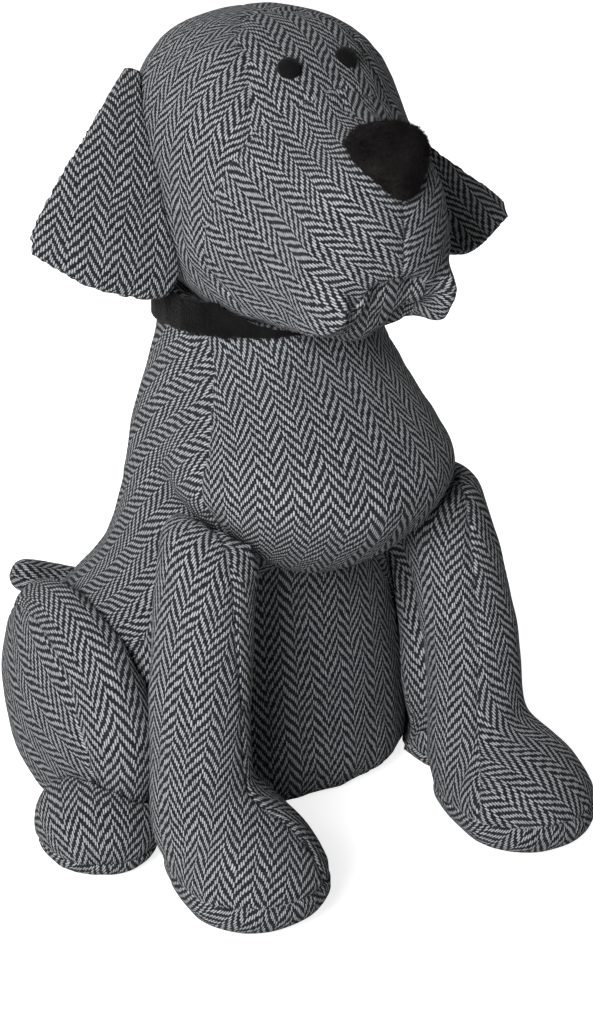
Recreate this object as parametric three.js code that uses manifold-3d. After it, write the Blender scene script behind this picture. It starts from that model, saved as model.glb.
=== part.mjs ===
// A weighted fabric door stop in the form of a sitting dog, sewn from herringbone tweed.
// Sizes are millimetres. The dog faces -Y, rests on Z = 0 and has its left side at +X.
// Each sewn bag is one closed solid, kept a seam gap away from the bags that it is sewn to.
import * as THREE from "three";
import { mergeVertices } from "three/addons/utils/BufferGeometryUtils.js";
import Module from "manifold-3d";

const wasm = await Module();
wasm.setup();

// The gap left where two sewn pieces touch.
const SEAM_GAP = 0.3;

// Trunk: level sections from the flat base to the neck, widest low down where the weight is.
// Width is a half width. Front and back run from the upright axis of the base.
const TRUNK = [
  { height: 0, width: 82, front: 86, back: 70, squareness: 2.8 },
  { height: 6, width: 87, front: 90, back: 76, squareness: 2.8 },
  { height: 40, width: 88, front: 90, back: 75, squareness: 2.7 },
  { height: 70, width: 84, front: 88, back: 58, squareness: 2.6 },
  { height: 92, width: 77, front: 87, back: 35, squareness: 2.4 },
  { height: 115, width: 68, front: 87, back: 13, squareness: 2.2 },
  { height: 140, width: 64, front: 92, back: -2, squareness: 2.1 },
  { height: 170, width: 63, front: 110, back: -6, squareness: 2.1 },
  { height: 200, width: 57, front: 127, back: -8, squareness: 2.1 },
  { height: 222, width: 50, front: 117, back: -15, squareness: 2.1 },
  { height: 240, width: 48, front: 115, back: -20, squareness: 2.1 },
  { height: 262, width: 45, front: 108, back: -25, squareness: 2.1 },
];

// Chest: the stuffed front that overhangs the belly, from its round underside to the neck.
const CHEST = [
  { height: 126, width: 47, front: 151, back: -55, squareness: 2 },
  { height: 145, width: 58, front: 161, back: -48, squareness: 1.9 },
  { height: 170, width: 67.5, front: 166, back: -38, squareness: 1.9 },
  { height: 200, width: 56, front: 143, back: -30, squareness: 1.95 },
  { height: 222, width: 48, front: 117, back: -30, squareness: 2.1 },
];
const CHEST_UNDERSIDE = 62;

// Head: upright sections from the back of the skull to the front of the muzzle.
// Ahead and above run from the middle of the top of the neck.
// Sag narrows a section above its middle and widens it below.
const HEAD = [
  { ahead: -64, width: 55, above: 41, top: 54, bottom: 60, sag: 0 },
  { ahead: -6, width: 55, above: 41, top: 55, bottom: 68, sag: 0 },
  { ahead: 22, width: 53, above: 39, top: 55, bottom: 70, sag: 0.03 },
  { ahead: 42, width: 45, above: 36, top: 47, bottom: 62, sag: 0.18 },
  { ahead: 64, width: 35, above: 31, top: 35, bottom: 57, sag: 0.28 },
  { ahead: 88, width: 31, above: 27, top: 36, bottom: 43, sag: 0.22 },
  { ahead: 106, width: 30, above: 24, top: 37, bottom: 38, sag: 0.15 },
];
const HEAD_ENDS = { back: 54, front: 24 };
const HEAD_SQUARENESS = { upper: 2.3, lower: 3 };

// Lower jaw: the chin panel that shows between the flews.
const JAW = [
  { ahead: -6, width: 32, above: 0, top: 20, bottom: 28, sag: 0 },
  { ahead: 64, width: 26, above: 0, top: 20, bottom: 28, sag: 0 },
  { ahead: 96, width: 21, above: 3, top: 16, bottom: 20, sag: 0 },
];
const JAW_ENDS = { back: 20, front: 20 };
const JAW_SQUARENESS = 2;

// Mouth: the opening under the nose, wider below, that the chin fills.
const MOUTH = { apex: 6, foot: -38, crown: 20, width: 46, ahead: 70 };

// Flews: the loose lips that hang at both sides of the chin.
const FLEW = { side: 26.5, ahead: 67, above: -2, width: 7, length: 35, drop: 18, splay: 6 };

// Eyes: cloth covered buttons on the forehead.
const EYE = { side: 13.5, ahead: 42, diameter: 10.5, dome: 4.2, rim: 1.2 };

// Nose: a rounded triangle of plush, wider above, set in the front of the muzzle.
const NOSE = {
  ahead: 74, above: 37, tilt: 36, width: 44, length: 37, depth: 20, proud: 3, point: 0.5,
};
const NOSE_EDGE = 5;

// Ears: two layers of tweed sewn to the side of the skull at the root, with free edges.
// The root is ahead of the neck and above it. Each corner runs outward, ahead and above from
// the root.
const EAR = {
  sunk: 1.5, rootWidth: 8, thickness: 5, bulge: 7,
  rounding: 20, fullness: 2, margin: 3, squareness: 2.4,
};
const EAR_CORNERS = {
  right: { root: [-22, 69], front: [8, 38, -86], outer: [70, 25, -66] },
  left: { root: [-32, 57], front: [11, 46, -77], outer: [80, 45, -67] },
};

// Collar: a velour band round the neck, measured from its top and higher at the throat.
const COLLAR = { height: 15, below: 26, thickness: 3, lift: 0.115 };

// Front legs: level sections of a tube, from the ankle up to the shoulder.
// The shoulder is sunk into the side of the chest and lies behind the front of it.
// Out and ahead run from the shoulder.
const SHOULDER = { sunk: 14.5, behind: 56, crown: 9 };
const LEG = [
  { height: 24, out: 16, ahead: 18, width: 22.5, length: 24 },
  { height: 50, out: 16.5, ahead: 18, width: 22.5, length: 24 },
  { height: 100, out: 13, ahead: 13, width: 22.5, length: 24 },
  { height: 145, out: 4, ahead: 4, width: 22, length: 24 },
  { height: 167, out: 0, ahead: 0, width: 21.5, length: 23 },
];
const LEG_SQUARENESS = 2;

// Feet: upright sections from heel to toe, ahead of the ankle and flat at the sole.
// Both feet lie a little to the dog's left of their ankles, and the left one further ahead.
const FOOT = [
  { ahead: -27, width: 22, above: 14, top: 28, bottom: 17, sag: 0.08 },
  { ahead: -2, width: 29, above: 15, top: 39, bottom: 18, sag: 0.08 },
  { ahead: 23, width: 33, above: 15, top: 35, bottom: 18, sag: 0.08 },
  { ahead: 59, width: 32.5, above: 14, top: 28, bottom: 17, sag: 0.08 },
];
const FOOT_ENDS = { back: 16, front: 32 };
const FOOT_SQUARENESS = 2.2;
const FOOT_SHIFT = { right: { side: 11, ahead: 0 }, left: { side: 8, ahead: 3 } };

// Haunches: the bulging thighs, sunk into both sides of the trunk.
const HAUNCH = { sunk: 9, ahead: 29, above: 46, width: 25, length: 66, rise: 60, lean: 12 };

// Hind paws: small cushions out from the haunches and ahead of them.
const HIND_PAW = { out: 14.5, ahead: 46.5, above: 13, width: 28.5, length: 33, rise: 25 };

// Tail: a short stuffed tube from the rump, curled to the dog's right.
// The points of its path run from the root to the left, back and up.
const TAIL = {
  radius: 9, side: -6, above: 47, sunk: 9,
  path: [[0, 0, 0], [-16, 12, 4], [-38, 20, 12], [-58, 16, 20]],
};

// Facets round a section and along a loft.
const FINE = { around: 28, along: 18 };
const MEDIUM = { around: 20, along: 12 };
const SMALL = { around: 14, along: 8 };

// How far short of its tip a rounded end stops, as a share of its length.
const TIP = 0.002;

const TWEED = { color: "#5b5e61", roughness: 0.95, metalness: 0 };
const PLUSH = { color: "#151415", roughness: 0.9, metalness: 0 };
const VELOUR = { color: "#232224", roughness: 0.85, metalness: 0 };
const BUTTON_CLOTH = { color: "#18181a", roughness: 0.7, metalness: 0 };

const steps = (count, from, to) =>
  Array.from({ length: count + 1 }, (_, i) => from + ((to - from) * i) / count);
const turns = (count) => Array.from({ length: count }, (_, i) => (2 * Math.PI * i) / count);
const radians = THREE.MathUtils.degToRad;

// How full a rounded end is at a distance in from its tip, from 0 to 1.
function rounding(distance, reach, power = 2) {
  const inward = THREE.MathUtils.clamp(distance / reach, TIP, 1);
  return Math.pow(1 - Math.pow(1 - inward, power), 1 / power);
}

// A smooth curve through listed stations, read at any place between them.
function along(stations, place) {
  const keys = Object.keys(stations[0]).filter((key) => key !== place);
  const curve = new THREE.CubicInterpolant(
    stations.map((station) => station[place]),
    stations.flatMap((station) => keys.map((key) => station[key])),
    keys.length,
  );
  const [from, to] = [stations[0][place], stations.at(-1)[place]];
  return (position) => {
    const values = curve.evaluate(THREE.MathUtils.clamp(position, from, to));
    return Object.fromEntries(keys.map((key, index) => [key, values[index]]));
  };
}

// A point on a rounded section, from a half width and the half heights above and below.
function sectionPoint(angle, width, up, down, squareness) {
  const { upper = squareness, lower = squareness } = squareness;
  const power = 2 / (Math.sin(angle) > 0 ? upper : lower);
  const bend = (value) => Math.sign(value) * Math.pow(Math.abs(value), power);
  const rise = bend(Math.sin(angle));
  return { side: bend(Math.cos(angle)) * width, rise: rise * (rise > 0 ? up : down) };
}

// The geometry as a manifold solid, turned right side out.
function toSolid(geometry) {
  geometry.deleteAttribute("normal");
  geometry.deleteAttribute("uv");
  const merged = mergeVertices(geometry);
  const build = (triVerts) =>
    new wasm.Manifold(
      new wasm.Mesh({
        numProp: 3,
        vertProperties: merged.attributes.position.array,
        triVerts,
      }),
    );
  const made = build(new Uint32Array(merged.index.array));
  return made.volume() > 0 ? made : build(new Uint32Array(merged.index.array).reverse());
}

// The manifold solid as a named mesh.
function toMesh(name, solid, look) {
  const made = solid.getMesh();
  const geometry = new THREE.BufferGeometry()
    .setAttribute("position", new THREE.BufferAttribute(made.vertProperties, made.numProp))
    .setIndex(new THREE.BufferAttribute(made.triVerts, 1));
  geometry.computeVertexNormals();
  const mesh = new THREE.Mesh(geometry, new THREE.MeshStandardMaterial(look));
  mesh.name = name;
  return mesh;
}

// A closed solid through rings of points, with a fan over each end.
function loft(rings) {
  const count = rings[0].length;
  const points = rings.flat();
  const middle = (ring) =>
    ring.reduce((sum, point) => sum.add(point), new THREE.Vector3()).divideScalar(count);
  const start = points.push(middle(rings[0])) - 1;
  const end = points.push(middle(rings.at(-1))) - 1;
  const last = (rings.length - 1) * count;
  const faces = [];
  for (let row = 0; row < last; row += count)
    for (let i = 0; i < count; i++) {
      const next = (i + 1) % count;
      faces.push(row + i, row + next, row + next + count);
      faces.push(row + i, row + next + count, row + i + count);
    }
  for (let i = 0; i < count; i++) {
    const next = (i + 1) % count;
    faces.push(start, next, i, end, last + i, last + next);
  }
  return toSolid(new THREE.BufferGeometry().setFromPoints(points).setIndex(faces));
}

// What lies above the floor of a solid that reaches below it.
function onFloor(solid) {
  const size = 4 * TRUNK.at(-1).height;
  const slab = new THREE.BoxGeometry(size, size, size).translate(0, 0, -size / 2);
  return solid.subtract(toSolid(slab));
}

// A level ring of the trunk or chest, grown and shrunk towards its middle by its fullness.
function levelRing(at, grow, full, height) {
  const middle = (at.back - at.front) / 2;
  const half = ((at.back + at.front) / 2 + grow) * full;
  return turns(FINE.around).map((angle) => {
    const p = sectionPoint(angle, (at.width + grow) * full, half, half, at.squareness);
    return new THREE.Vector3(p.side, middle + p.rise, height(p.rise));
  });
}

// The trunk, with closer rings low down where the edge of the base is rounded.
function trunkSolid(grow) {
  const size = along(TRUNK, "height");
  const top = TRUNK.at(-1).height;
  return loft(
    steps(FINE.along, 0, 1).map((share) => {
      const height = -grow + (top + 2 * grow) * Math.pow(share, 1.3);
      return levelRing(size(height), grow, 1, () => height);
    }),
  );
}

// The chest, with closer rings at its round underside.
function chestSolid(grow) {
  const size = along(CHEST, "height");
  const bottom = CHEST[0].height - grow;
  const top = CHEST.at(-1).height + grow;
  return loft(
    steps(MEDIUM.along, 0, 1).map((share) => {
      const height = bottom + (top - bottom) * share * share;
      const full = rounding(height - bottom, CHEST_UNDERSIDE + grow);
      return levelRing(size(height), grow, full, () => height);
    }),
  );
}

const torsoSolid = (grow) => trunkSolid(grow).add(chestSolid(grow));

// The middle of the top of the neck, from which the head is measured.
function neckTop() {
  const { height, front, back } = TRUNK.at(-1);
  return new THREE.Vector3(0, (back - front) / 2, height);
}

// Upright sections along the dog from an origin, rounded at both ends.
function uprightLoft(origin, stations, ends, squareness, detail, grow) {
  const size = along(stations, "ahead");
  const back = stations[0].ahead - grow;
  const front = stations.at(-1).ahead + grow;
  return loft(
    steps(detail.along, 0, Math.PI).map((turn) => {
      const ahead = back + ((front - back) * (1 - Math.cos(turn))) / 2;
      const at = size(ahead);
      const full =
        rounding(ahead - back, ends.back + grow) * rounding(front - ahead, ends.front + grow);
      return turns(detail.around).map((angle) => {
        const [width, up, down] = [at.width, at.top, at.bottom].map(
          (half) => (half + grow) * full,
        );
        const p = sectionPoint(angle, width, up, down, squareness);
        const side = p.side * (1 - at.sag * Math.sin(angle));
        return new THREE.Vector3(side, -ahead, at.above + p.rise).add(origin);
      });
    }),
  );
}

// An egg from its half lengths, leaned round X, splayed round Y and moved into place.
function egg(radii, lean, splay, place, detail, grow) {
  const geometry = new THREE.SphereGeometry(1, detail.around, detail.along);
  geometry.scale(...radii.map((radius) => radius + grow));
  geometry.rotateX(radians(lean)).rotateY(radians(splay)).translate(...place.toArray());
  return toSolid(geometry);
}

function headSolid(grow) {
  const neck = neckTop();
  const skull = uprightLoft(neck, HEAD, HEAD_ENDS, HEAD_SQUARENESS, FINE, grow);
  const chin = uprightLoft(neck, JAW, JAW_ENDS, JAW_SQUARENESS, MEDIUM, grow);
  const mouth = loft(
    [MOUTH.ahead, HEAD.at(-1).ahead + HEAD_ENDS.front].map((ahead) =>
      [
        [MOUTH.crown, MOUTH.apex],
        [-MOUTH.crown, MOUTH.apex],
        [-MOUTH.width, MOUTH.foot],
        [MOUTH.width, MOUTH.foot],
      ].map(([width, above]) => new THREE.Vector3(width / 2, -ahead, above - grow).add(neck)),
    ),
  );
  const [right, left] = [-1, 1].map((side) => {
    const place = new THREE.Vector3(side * FLEW.side, -FLEW.ahead, FLEW.above).add(neck);
    return egg([FLEW.width, FLEW.length, FLEW.drop], 0, -side * FLEW.splay, place, SMALL, grow);
  });
  return skull.subtract(mouth).add(chin).add(right).add(left);
}

// Where a line from outside, aimed at a point inside, meets the head.
function seat(inside, outward) {
  const reach = 4 * TRUNK.at(-1).height;
  const start = inside.clone().addScaledVector(outward, reach);
  const ray = new THREE.Raycaster(start, outward.clone().negate());
  const [hit] = ray.intersectObject(toMesh("", headSolid(0), TWEED));
  return { point: hit.point, normal: hit.face.normal };
}

// A covered button, turned on its own axis and laid on the forehead.
function eyeSolid(side) {
  const inside = new THREE.Vector3(side * EYE.side, -EYE.ahead, 0).add(neckTop());
  const { point, normal } = seat(inside, new THREE.Vector3(0, 0, 1));
  const radius = EYE.diameter / 2;
  const dome = steps(SMALL.along / 2, 0, Math.PI / 2).map(
    (angle) => new THREE.Vector2(radius * Math.cos(angle), EYE.rim + EYE.dome * Math.sin(angle)),
  );
  dome.at(-1).x = 0;
  const base = [new THREE.Vector2(0, -EYE.dome), new THREE.Vector2(radius, -EYE.dome)];
  const geometry = new THREE.LatheGeometry([...base, ...dome], SMALL.around);
  geometry.applyQuaternion(
    new THREE.Quaternion().setFromUnitVectors(new THREE.Vector3(0, 1, 0), normal),
  );
  return toSolid(geometry.translate(...point.toArray())).subtract(headSolid(SEAM_GAP));
}

// A low dome over a rounded triangle, point down, that looks forward and up.
function noseSolid() {
  const tilt = radians(NOSE.tilt);
  const out = new THREE.Vector3(0, -Math.cos(tilt), Math.sin(tilt));
  const up = new THREE.Vector3(0, Math.sin(tilt), Math.cos(tilt));
  const inside = new THREE.Vector3(0, -NOSE.ahead, NOSE.above).add(neckTop());
  const centre = seat(inside, out).point;
  const rings = steps(SMALL.along, 0, (1 - TIP) * Math.PI / 2).map((turn) => {
    const full = rounding(1 - Math.sin(turn), 1, NOSE_EDGE);
    const rise = (NOSE.depth + NOSE.proud) * Math.sin(turn) - NOSE.depth;
    return turns(FINE.around).map((angle) => {
      const height = -Math.cos(angle);
      const narrow = 1 - (NOSE.point * (1 - height)) / 2;
      return centre
        .clone()
        .addScaledVector(out, rise)
        .addScaledVector(up, (NOSE.length / 2) * height * full)
        .add(new THREE.Vector3((NOSE.width / 2) * Math.sin(angle) * narrow * full, 0, 0));
    });
  });
  return loft(rings).subtract(headSolid(SEAM_GAP));
}

// A thin flap from its root down to its front and outer corners, bulged outward.
function earSolid(side) {
  const corners = side > 0 ? EAR_CORNERS.left : EAR_CORNERS.right;
  const [ahead, above] = corners.root;
  const inside = new THREE.Vector3(0, -ahead, above).add(neckTop());
  const root = seat(inside, new THREE.Vector3(side, 0, 0)).point;
  root.x -= side * EAR.sunk;
  const [front, outer] = [corners.front, corners.outer].map(([out, forward, up]) =>
    root.clone().add(new THREE.Vector3(side * out, -forward, up)),
  );
  const down = front.clone().add(outer).divideScalar(2).sub(root);
  const across = outer.clone().sub(front);
  const [length, width] = [down.length(), across.length() / 2 + EAR.margin];
  [down, across].forEach((way) => way.normalize());
  const out = new THREE.Vector3().crossVectors(across, down).normalize();
  if (out.x * side < 0) out.negate();
  const rings = steps(MEDIUM.along, 0, 1).map((share) => {
    const full = rounding(length * (1 - share), EAR.rounding, EAR.squareness);
    const arch = Math.sin(Math.PI * share);
    const spread = EAR.rootWidth + (width - EAR.rootWidth) * share + EAR.fullness * arch;
    const thick = (EAR.thickness / 2) * (0.4 + 0.6 * full);
    return turns(SMALL.around + 2).map((angle) => {
      const p = sectionPoint(angle, spread * full, thick, thick, EAR.squareness);
      const curl = (EAR.bulge / 2) * share * (1 - (p.side / (spread * full)) ** 2);
      return root
        .clone()
        .addScaledVector(down, length * share)
        .addScaledVector(across, p.side)
        .addScaledVector(out, p.rise + curl + EAR.bulge * arch);
    });
  });
  return loft(rings).subtract(headSolid(SEAM_GAP));
}

// A band that follows the neck, tilted so that it rises to the throat.
function collarSolid() {
  const middle = neckTop().z - COLLAR.below;
  const at = along(TRUNK, "height")(middle);
  const wall = (grow, half) =>
    loft(
      [-half, half].map((offset) =>
        levelRing(at, grow, 1, (rise) => middle - COLLAR.lift * rise + offset),
      ),
    );
  return wall(SEAM_GAP + COLLAR.thickness, COLLAR.height / 2)
    .subtract(wall(SEAM_GAP, COLLAR.height))
    .subtract(torsoSolid(SEAM_GAP))
    .subtract(headSolid(SEAM_GAP));
}

// A front leg and its foot, sewn as one bag.
function legSolid(side, grow) {
  const top = LEG.at(-1).height;
  const [ankle] = LEG;
  const shift = side > 0 ? FOOT_SHIFT.left : FOOT_SHIFT.right;
  const chest = along(CHEST, "height")(top);
  const shoulder = new THREE.Vector3(
    side * (chest.width - SHOULDER.sunk),
    SHOULDER.behind - chest.front,
    0,
  );
  const size = along(LEG, "height");
  const tube = loft(
    steps(MEDIUM.along, 0, Math.PI).map((turn) => {
      const height = ankle.height + ((top + grow - ankle.height) * (1 - Math.cos(turn))) / 2;
      const at = size(height);
      const full = rounding(top + grow - height, SHOULDER.crown + grow);
      const centre = new THREE.Vector3(side * at.out, -at.ahead, height).add(shoulder);
      return turns(MEDIUM.around).map((angle) => {
        const length = (at.length + grow) * full;
        const p = sectionPoint(angle, (at.width + grow) * full, length, length, LEG_SQUARENESS);
        return new THREE.Vector3(p.side, p.rise, 0).add(centre);
      });
    }),
  );
  const heel = new THREE.Vector3(side * ankle.out + shift.side, -ankle.ahead - shift.ahead, 0);
  heel.add(shoulder);
  return tube.add(
    onFloor(uprightLoft(heel, FOOT, FOOT_ENDS, FOOT_SQUARENESS, MEDIUM, grow)),
  );
}

// The middle of a haunch, sunk into the side of the trunk.
function haunchPlace(side) {
  const { width } = along(TRUNK, "height")(HAUNCH.above);
  return new THREE.Vector3(side * (width - HAUNCH.sunk), -HAUNCH.ahead, HAUNCH.above);
}

function haunchSolid(side, grow) {
  const radii = [HAUNCH.width, HAUNCH.length, HAUNCH.rise];
  return onFloor(egg(radii, HAUNCH.lean, 0, haunchPlace(side), MEDIUM, grow));
}

function pawSolid(side) {
  const place = haunchPlace(side).add(
    new THREE.Vector3(side * HIND_PAW.out, -HIND_PAW.ahead, HIND_PAW.above - HAUNCH.above),
  );
  const radii = [HIND_PAW.width, HIND_PAW.length, HIND_PAW.rise];
  return onFloor(egg(radii, 0, 0, place, MEDIUM, 0));
}

// The tail: a tube along its path, round at the tip.
function tailSolid() {
  const { back } = along(TRUNK, "height")(TAIL.above);
  const root = new THREE.Vector3(TAIL.side, back - TAIL.sunk, TAIL.above);
  const path = new THREE.CatmullRomCurve3(
    TAIL.path.map((point) => new THREE.Vector3(...point).add(root)),
  );
  const frames = path.computeFrenetFrames(MEDIUM.along, false);
  const length = path.getLength();
  const rings = steps(MEDIUM.along, 0, 1).map((share, row) => {
    const radius = TAIL.radius * rounding(length * (1 - share), TAIL.radius);
    return turns(SMALL.around).map((angle) =>
      path
        .getPointAt(share)
        .addScaledVector(frames.normals[row], radius * Math.cos(angle))
        .addScaledVector(frames.binormals[row], radius * Math.sin(angle)),
    );
  });
  return loft(rings).subtract(torsoSolid(SEAM_GAP));
}

// A named mesh with its own origin at the middle of its solid, placed in its group.
function place(group, name, solid, look) {
  const mesh = toMesh(name, solid, look);
  mesh.geometry.computeBoundingBox();
  const middle = mesh.geometry.boundingBox.getCenter(new THREE.Vector3());
  mesh.geometry.translate(...middle.clone().negate().toArray());
  mesh.position.copy(middle).sub(group.position);
  group.add(mesh);
}

const dog = new THREE.Group();
const face = new THREE.Group();
face.position.copy(neckTop());
dog.add(face);
const torsoRoom = torsoSolid(SEAM_GAP);
place(dog, "torso", torsoSolid(0).subtract(headSolid(SEAM_GAP)), TWEED);
place(face, "head", headSolid(0), TWEED);
place(face, "nose", noseSolid(), PLUSH);
place(dog, "collar", collarSolid(), VELOUR);
for (const [name, side] of [["right", -1], ["left", 1]]) {
  const legRoom = legSolid(side, SEAM_GAP);
  const haunchRoom = haunchSolid(side, SEAM_GAP);
  const haunch = haunchSolid(side, 0).subtract(torsoRoom).subtract(legRoom);
  const paw = pawSolid(side).subtract(torsoRoom).subtract(legRoom).subtract(haunchRoom);
  place(face, "eye_" + name, eyeSolid(side), BUTTON_CLOTH);
  place(face, "ear_" + name, earSolid(side), TWEED);
  place(dog, "front_leg_" + name, legSolid(side, 0).subtract(torsoRoom), TWEED);
  place(dog, "haunch_" + name, haunch, TWEED);
  place(dog, "hind_paw_" + name, paw, TWEED);
}
place(dog, "tail", tailSolid(), TWEED);

export default dog;
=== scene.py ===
"""Dresses the sitting dog door stop: sewn tweed bags, plush nose, velour collar, button eyes."""

import logging
import math
from dataclasses import dataclass
from enum import Enum
from typing import Callable

import bmesh
import bpy
import numpy as np
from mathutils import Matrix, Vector


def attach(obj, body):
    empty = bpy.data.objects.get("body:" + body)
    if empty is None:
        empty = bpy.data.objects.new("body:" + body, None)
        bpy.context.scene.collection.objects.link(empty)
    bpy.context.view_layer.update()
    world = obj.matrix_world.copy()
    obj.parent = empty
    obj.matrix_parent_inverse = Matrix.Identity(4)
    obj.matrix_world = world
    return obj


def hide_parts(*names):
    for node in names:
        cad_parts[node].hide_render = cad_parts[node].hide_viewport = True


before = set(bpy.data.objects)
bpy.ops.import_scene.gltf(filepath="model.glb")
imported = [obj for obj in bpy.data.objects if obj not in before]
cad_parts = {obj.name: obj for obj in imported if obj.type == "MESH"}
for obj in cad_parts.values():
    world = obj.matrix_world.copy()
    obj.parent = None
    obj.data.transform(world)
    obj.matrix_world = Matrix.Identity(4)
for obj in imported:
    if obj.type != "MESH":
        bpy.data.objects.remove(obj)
log = logging.getLogger("door_stop")

MM = 0.001
CLOTH_MAP = "cloth"
PANEL = "panel"
WHITE = (1.0, 1.0, 1.0, 1.0)

# How hard the bags are blown up, for how many frames, and how finely each is worked out.
PRESSURE = 4.0
STUFFING_FRAMES = 20
CLOTH_STEPS = 4
# How far apart, in millimetres, a field is read for its slope.
PROBE = 0.1
# How near a vertex has to be to a seam to be moved onto it, as a share of a face's side.
SNAP = 0.28
# How a seam's groove and its puckers fade: what is left one vertex on, and over how many.
GROOVE = (0.5, 4)
PUCKERS = (0.86, 12)
# The wave lengths of puckers and lumps in millimetres, with each lump's share of the height.
PUCKER_WAVE = 11.0
LUMP_WAVES = ((46.0, 1.0), (19.0, 0.3))
# The wave lengths of uneven pile in millimetres, broad and fine, and the fine one's share.
BROAD_PILE = 2.3
FINE_PILE = 1.4
FINE_SHARE = 0.7

# A seam or an area of cloth as numbers at points in millimetres with their normals.
Field = Callable[[np.ndarray, np.ndarray], np.ndarray]
Triple = tuple[float, float, float]
# Where cloth is pulled, how far round that the pull reaches, and how far it goes.
Pull = tuple[Triple, float, Triple]


class Side(Enum):
    """The dog's own sides, as the sign of X."""

    RIGHT = -1
    LEFT = 1

    @property
    def word(self) -> str:
        """The side's name as the nodes spell it."""
        return self.name.lower()


class Slot(Enum):
    """The record's material slots."""

    TWEED = "tweed"
    PLUSH = "plush"
    VELOUR = "velour"
    BUTTON = "button_cloth"


# Node trees


@dataclass(frozen=True)
class Value:
    """A number in a node tree, with arithmetic that adds Math nodes."""

    tree: bpy.types.NodeTree
    socket: bpy.types.NodeSocket

    def feed(self, node: bpy.types.Node, place: int, value: "Value | float") -> None:
        """Gives a node one of its inputs.

        Args:
            node: The node.
            place: The input's number.
            value: A value to link, or a plain number.
        """
        if isinstance(value, Value):
            self.tree.links.new(value.socket, node.inputs[place])
        else:
            node.inputs[place].default_value = value

    def math(self, operation: str, *others: "Value | float") -> "Value":
        """Adds one Math node.

        Args:
            operation: The node's operation.
            others: Its other inputs, as values or plain numbers.

        Returns:
            The node's result.
        """
        node = self.tree.nodes.new("ShaderNodeMath")
        node.operation = operation
        for place, value in enumerate((self, *others)):
            self.feed(node, place, value)
        return Value(self.tree, node.outputs[0])

    def __add__(self, other: "Value | float") -> "Value":
        """The sum."""
        return self.math("ADD", other)

    def __sub__(self, other: "Value | float") -> "Value":
        """The difference."""
        return self.math("SUBTRACT", other)

    def __mul__(self, other: "Value | float") -> "Value":
        """The product."""
        return self.math("MULTIPLY", other)

    def __mod__(self, other: "Value | float") -> "Value":
        """The remainder, never below zero."""
        return self.math("FLOORED_MODULO", other)

    def whole(self) -> "Value":
        """The number below."""
        return self.math("FLOOR")

    def under(self, other: "Value | float") -> "Value":
        """1 where this is less than the other, else 0."""
        return self.math("LESS_THAN", other)

    def clamped(self) -> "Value":
        """The number, held between 0 and 1."""
        return self.math("MAXIMUM", 0.0).math("MINIMUM", 1.0)

    def blend(self, low: "Value | float", high: "Value | float") -> "Value":
        """Goes between two numbers.

        Args:
            low: The number where this is 0.
            high: The number where this is 1.

        Returns:
            The number between.
        """
        node = self.tree.nodes.new("ShaderNodeMix")
        for place, value in ((0, self), (2, low), (3, high)):
            self.feed(node, place, value)
        return Value(self.tree, node.outputs[0])


class Shader:
    """A material's node tree with one surface shader."""

    def __init__(self, name: str) -> None:
        """Makes the material with its Principled node.

        Args:
            name: The material's name.
        """
        self.material = bpy.data.materials.new(name)
        self.material.use_nodes = True
        self.tree = self.material.node_tree
        self.surface = self.tree.nodes["Principled BSDF"]

    def node(self, kind: str, **settings: object) -> bpy.types.Node:
        """Adds a node.

        Args:
            kind: The node's type, without its ShaderNode prefix.
            settings: Properties of the node.

        Returns:
            The node.
        """
        node = self.tree.nodes.new("ShaderNode" + kind)
        for name, value in settings.items():
            setattr(node, name, value)
        return node

    def link(self, out: bpy.types.NodeSocket, into: bpy.types.NodeSocket) -> None:
        """Joins two sockets."""
        self.tree.links.new(out, into)

    def noise(self, place: bpy.types.NodeSocket, scale: float, detail: float = 2.0) -> Value:
        """A noise pattern from 0 to 1.

        Args:
            place: Where the pattern is read.
            scale: How many features fit in a metre.
            detail: How many finer layers it has.

        Returns:
            The noise.
        """
        node = self.node("TexNoise")
        self.link(place, node.inputs["Vector"])
        node.inputs["Scale"].default_value = scale
        node.inputs["Detail"].default_value = detail
        return Value(self.tree, node.outputs["Fac"])

    def colour(self, share: Value, low: Triple, high: Triple) -> None:
        """Colours the surface between two colours.

        Args:
            share: Where between them, from 0 to 1.
            low: The colour at 0.
            high: The colour at 1.
        """
        node = self.node("Mix", data_type="RGBA")
        self.link(share.socket, node.inputs[0])
        node.inputs[6].default_value = (*low, 1.0)
        node.inputs[7].default_value = (*high, 1.0)
        self.link(node.outputs[2], self.surface.inputs["Base Color"])

    def matt(self, roughness: float, specular: float, sheen: float, spread: float) -> None:
        """Sets how the surface takes light.

        Args:
            roughness: How blurred its reflections are.
            specular: How strong they are.
            sheen: How much light its fibres catch.
            spread: How far that light spreads.
        """
        self.surface.inputs["Roughness"].default_value = roughness
        self.surface.inputs["Specular IOR Level"].default_value = specular
        self.surface.inputs["Sheen Weight"].default_value = sheen
        self.surface.inputs["Sheen Roughness"].default_value = spread

    def bump(self, height: Value, depth: float) -> None:
        """Raises the surface.

        Args:
            height: How high, from 0 to 1.
            depth: How far 1 is, in metres.
        """
        node = self.node("Bump")
        node.inputs["Strength"].default_value = 1.0
        node.inputs["Distance"].default_value = depth
        self.link(height.socket, node.inputs["Height"])
        self.link(node.outputs["Normal"], self.surface.inputs["Normal"])


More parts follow.
